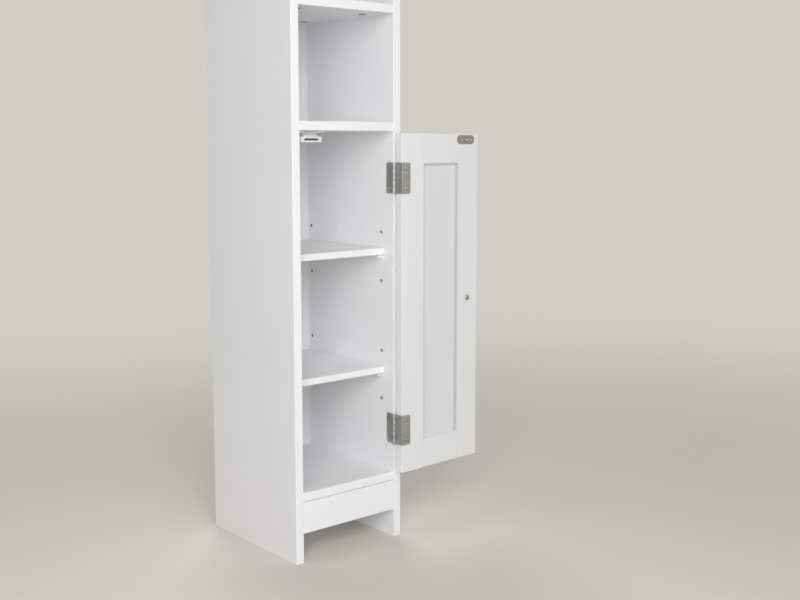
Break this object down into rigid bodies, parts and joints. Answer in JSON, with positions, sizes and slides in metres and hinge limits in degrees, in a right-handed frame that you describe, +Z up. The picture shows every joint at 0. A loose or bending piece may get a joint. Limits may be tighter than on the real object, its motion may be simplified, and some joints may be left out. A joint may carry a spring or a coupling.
{
  "type": "bathroom shelf unit",
  "caption": "Slim white bathroom shelf unit with open compartments over a cupboard that has a hinged framed door and adjustable shelves.",
  "frame": {"origin": "middle of the left side panel's foot, on the floor", "axes": "+X to the right along the front, +Y from the front towards the wall, +Z up"},
  "size_m": [0.3183, 0.2186, 1.224],
  "materials": {
    "white_board": "satin white lacquer foil on particle board",
    "white_hardboard": "matt white painted hardboard",
    "white_door": "satin white paint on fibreboard",
    "zinc": "dull cast zinc",
    "plated_steel": "bright zinc plated",
    "beech": "bare fluted beech",
    "pin_plastic": "white moulded plastic",
    "hinge_steel": "satin nickel plated",
    "satin_nickel": "satin nickel",
    "strike_steel": "dull zinc plated",
    "catch_plastic": "white moulded plastic",
    "ferrite": "dull sintered magnet"
  },
  "bodies": {
    "cabinet": {"left_side_panel": "white_board", "right_side_panel": "white_board", "top_panel": "white_board", "bottom_panel": "white_board", "kick_board": "white_board", "back_panel": "white_hardboard", "fixed_shelf_1": "white_board", "fixed_shelf_2": "white_board", "fixed_shelf_3": "white_board", "fixed_shelf_4": "white_board", "cam_locks": "zinc", "cam_bolts": "plated_steel", "dowels": "beech", "back_panel_nails": "plated_steel", "shelf_pins_upper": "pin_plastic", "shelf_pins_lower": "pin_plastic", "hinge_upper_panel_leaf": "hinge_steel", "hinge_upper_pin": "plated_steel", "hinge_upper_panel_screws": "plated_steel", "hinge_lower_panel_leaf": "hinge_steel", "hinge_lower_pin": "plated_steel", "hinge_lower_panel_screws": "plated_steel", "catch_housing": "catch_plastic", "catch_magnet": "ferrite", "catch_pole_plates": "plated_steel", "catch_screws": "plated_steel", "wall_bracket": "plated_steel", "wall_bracket_screws": "plated_steel"},
    "door": {"door_hinge_stile": "white_door", "door_free_stile": "white_door", "door_top_rail": "white_door", "door_bottom_rail": "white_door", "door_centre_panel": "white_door", "hinge_upper_door_leaf": "hinge_steel", "hinge_upper_door_screws": "plated_steel", "hinge_lower_door_leaf": "hinge_steel", "hinge_lower_door_screws": "plated_steel", "door_knob": "satin_nickel", "knob_screw": "plated_steel", "strike_plate": "strike_steel", "strike_plate_screw": "plated_steel"},
    "upper_shelf": {"adjustable_shelf_upper": "white_board"},
    "lower_shelf": {"adjustable_shelf_lower": "white_board"}
  },
  "joints": [
    {"name": "door_hinge", "type": "hinge", "parent": "cabinet", "child": "door", "pos_m": [0.1599, -0.10245, 0.329], "axis": [0, 0, 1], "range_deg": [-183, 7]},
    {"name": "upper_shelf_lift", "type": "slide", "parent": "cabinet", "child": "upper_shelf", "axis": [0, 0, 1], "range_m": [0, 0.03]},
    {"name": "lower_shelf_lift", "type": "slide", "parent": "cabinet", "child": "lower_shelf", "axis": [0, 0, 1], "range_m": [0, 0.03]}
  ]
}
